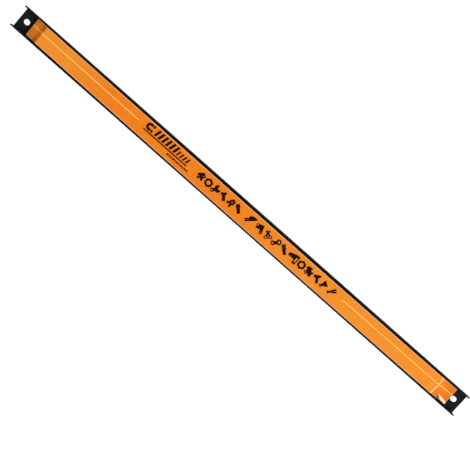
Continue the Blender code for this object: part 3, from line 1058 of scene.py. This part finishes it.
# ---------------------------------------------------------------------------------------------
# Studio. A floor and a soft sky that are seen as plain pale, but give less light in front than
# behind, so that the black rail stays dark. A large key light stands in front to the right, and a
# wide overhead light grazes the face.
# ---------------------------------------------------------------------------------------------
FLOOR_Z = -0.42
FLOOR_REACH = 30.0
FLOOR_PALE = (0.90, 0.90, 0.90)
FLOOR_GREY = (0.42, 0.42, 0.42)
SKY_FRONT = 0.34
SKY_BEHIND = 1.06
FLOOR_SPECK = (0.6, 0.6, 0.6)
FLOOR_FRONT = -0.7
FLOOR_BEHIND = 0.35
KEY_DISTANCE = 9.0
KEY_TURN = math.radians(54)
KEY_HEIGHT = 0.95
KEY_SIZE = 1.5
KEY_POWER = 640.0
OVERHEAD_POWER = 1.6
OVERHEAD_SPREAD = math.radians(40)
OVERHEAD_PLACE = (0, 0.45, 2.0)

pale, tree, shader, place = finish("pale_floor", roughness=1.0, specular=0.0)
speck = grain(tree, place, 60, detail=2)
axes = node(tree, "ShaderNodeSeparateXYZ", {"Vector": place})
toward_back = smooth_step(tree, axes.outputs["Y"], FLOOR_FRONT, FLOOR_BEHIND)
ground = mix_colour(tree, toward_back, FLOOR_GREY, FLOOR_PALE)
seen = node(tree, "ShaderNodeLightPath").outputs["Is Camera Ray"]
ground = mix_colour(tree, seen, ground, FLOOR_PALE)
tree.links.new(mix_colour(tree, maths(tree, 'MULTIPLY', speck, 0.05), ground, FLOOR_SPECK),
               shader.inputs["Base Color"])
corners = [(x * FLOOR_REACH, y * FLOOR_REACH, FLOOR_Z)
           for x, y in ((-1, -1), (1, -1), (1, 1), (-1, 1))]
floor = bpy.data.objects.new("studio_floor", face_mesh("studio_floor", corners))
bpy.context.collection.objects.link(floor)
floor.data.materials.append(pale)
floor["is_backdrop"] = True

sky = bpy.data.worlds.new("soft_sky")
bpy.context.scene.world = sky
sky.use_nodes = True
tree = sky.node_tree
toward = node(tree, "ShaderNodeTexCoord").outputs["Generated"]
axes = node(tree, "ShaderNodeSeparateXYZ", {"Vector": toward})
share = maths(tree, 'MULTIPLY_ADD', axes.outputs["Y"], 0.5, 0.5)
power = maths(tree, 'MULTIPLY_ADD', share, SKY_BEHIND - SKY_FRONT, SKY_FRONT)
seen = node(tree, "ShaderNodeLightPath").outputs["Is Camera Ray"]
power = maths(tree, 'MAXIMUM', power, maths(tree, 'MULTIPLY', seen, SKY_BEHIND))
tree.links.new(power, tree.nodes["Background"].inputs["Strength"])
tree.nodes["Background"].inputs["Color"].default_value = (1.0, 1.0, 1.0, 1.0)


def aim(obj, place, target):
    """Stand a light at a place and turn it to face a target."""
    obj.location = place
    obj.rotation_euler = (Vector(target) - Vector(place)).to_track_quat("-Z", "Y").to_euler()


key = bpy.data.lights.new("key", 'AREA')
key.shape = 'DISK'
key.size = KEY_SIZE
key.energy = KEY_POWER
key_light = bpy.data.objects.new("key", key)
bpy.context.collection.objects.link(key_light)
key_place = (KEY_DISTANCE * math.sin(KEY_TURN), -KEY_DISTANCE * math.cos(KEY_TURN), KEY_HEIGHT)
aim(key_light, key_place, (0, 0, 0))
key_light.visible_camera = False
overhead = bpy.data.lights.new("overhead", 'SUN')
overhead.energy = OVERHEAD_POWER
overhead.angle = OVERHEAD_SPREAD
overhead_light = bpy.data.objects.new("overhead", overhead)
bpy.context.collection.objects.link(overhead_light)
aim(overhead_light, OVERHEAD_PLACE, (0, 0, 0))

# ---------------------------------------------------------------------------------------------
# Camera. Square on to the strip's front and a little above it, rolled so that the strip runs
# down from upper left to lower right.
# ---------------------------------------------------------------------------------------------
ROLL = math.radians(41.477)
PITCH = math.radians(4.941)
LENS = 71.85
EYE = Vector((0.0109, cad_low.y - 0.9642, 0.0616))
AIM_RIGHT = math.radians(0.106)
SENSOR_WIDTH = 36.0

camera = bpy.data.cameras.new("camera")
camera.lens = LENS
camera.sensor_width = SENSOR_WIDTH
view = bpy.data.objects.new("camera", camera)
bpy.context.collection.objects.link(view)
across = Vector((math.cos(AIM_RIGHT), -math.sin(AIM_RIGHT), 0))
level_ahead = Vector((math.sin(AIM_RIGHT), math.cos(AIM_RIGHT), 0))
ahead = level_ahead * math.cos(PITCH) - Vector((0, 0, math.sin(PITCH)))
level_up = level_ahead * math.sin(PITCH) + Vector((0, 0, math.cos(PITCH)))
right = across * math.cos(ROLL) + level_up * math.sin(ROLL)
up = level_up * math.cos(ROLL) - across * math.sin(ROLL)
turn = Matrix((right, up, -ahead)).transposed()
view.matrix_world = Matrix.Translation(EYE) @ turn.to_4x4()
bpy.context.scene.camera = view
bpy.context.scene.view_settings.view_transform = 'Standard'

low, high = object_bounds()
